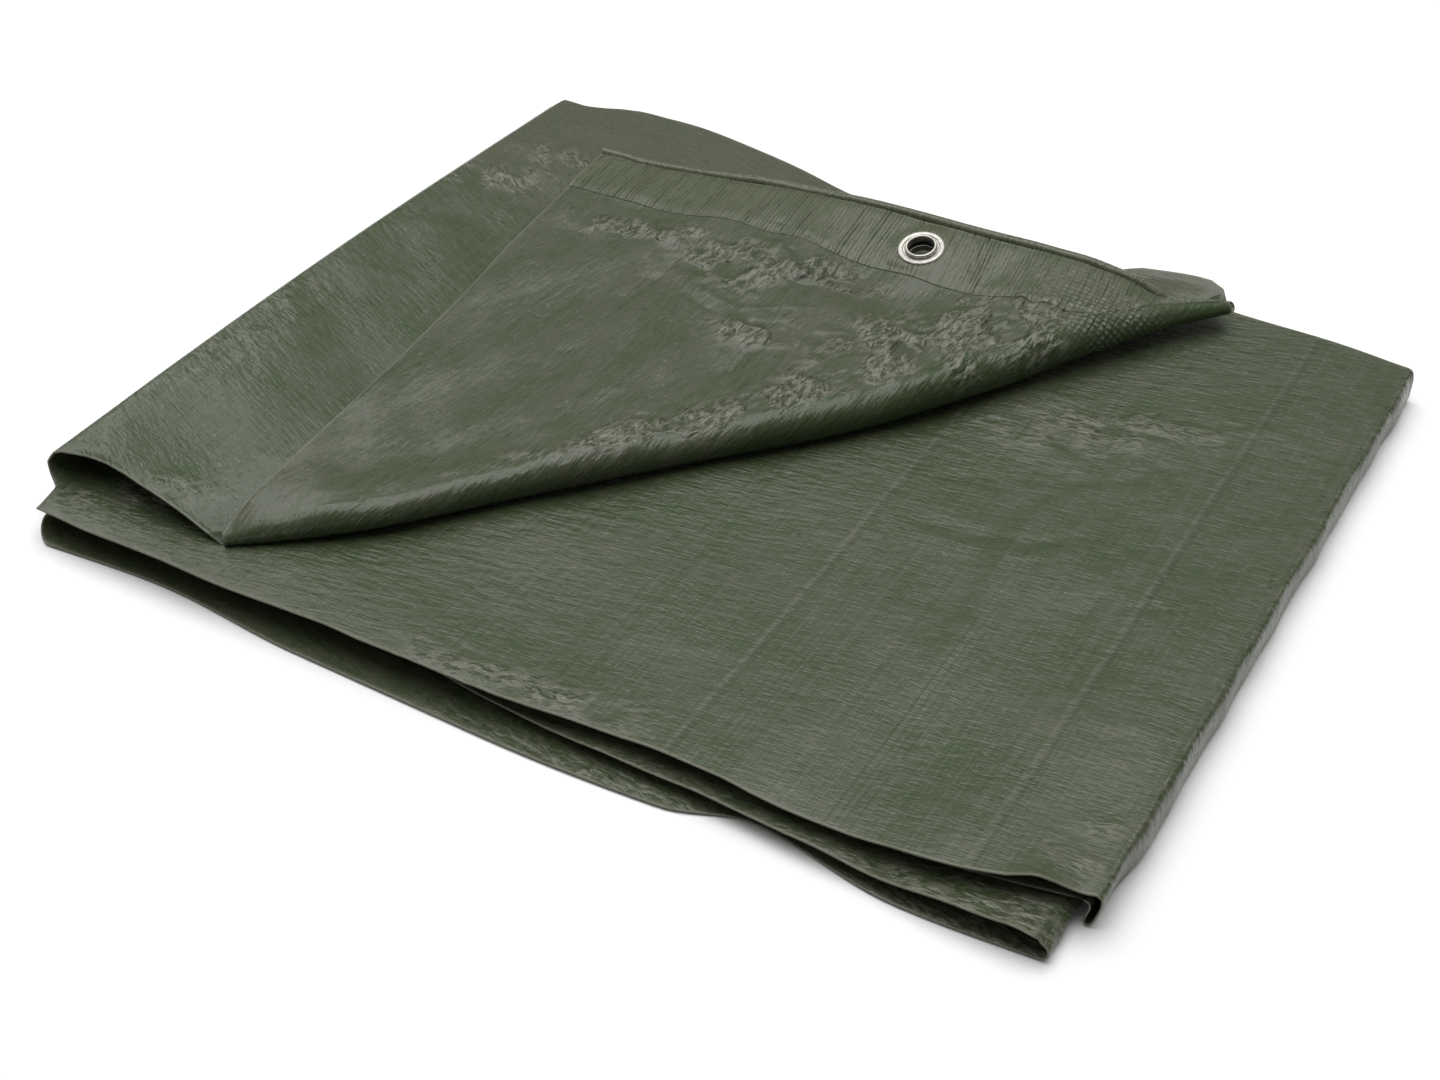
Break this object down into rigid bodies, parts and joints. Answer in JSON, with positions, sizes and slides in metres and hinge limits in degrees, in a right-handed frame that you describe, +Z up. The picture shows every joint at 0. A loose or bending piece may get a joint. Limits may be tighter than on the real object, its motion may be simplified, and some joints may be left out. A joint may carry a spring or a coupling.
{
  "type": "folded tarpaulin",
  "caption": "Woven plastic tarpaulin folded into a flat bundle, one corner turned back in a diagonal roll, with a hem and metal eyelets along its edge.",
  "frame": {"origin": "centre of the footprint, on the surface the bundle rests on", "axes": "+X from the rounded spine towards the stack's folded right side, +Y from the layered front edge towards the hemmed edge of the flap, +Z up"},
  "size_m": [0.4562, 0.3924, 0.0433],
  "materials": {
    "woven_sheet": "semi-gloss coated weave",
    "hem": "semi-gloss coated weave, ribbed by the hem's weld",
    "eyelet": "satin"
  },
  "bodies": {
    "root": {"tarp_cloth": "woven_sheet", "hem_strip": "hem", "eyelet_barrel_upper": "eyelet", "eyelet_washer_upper": "eyelet", "eyelet_barrel_lower": "eyelet", "eyelet_washer_lower": "eyelet"}
  },
  "joints": []
}
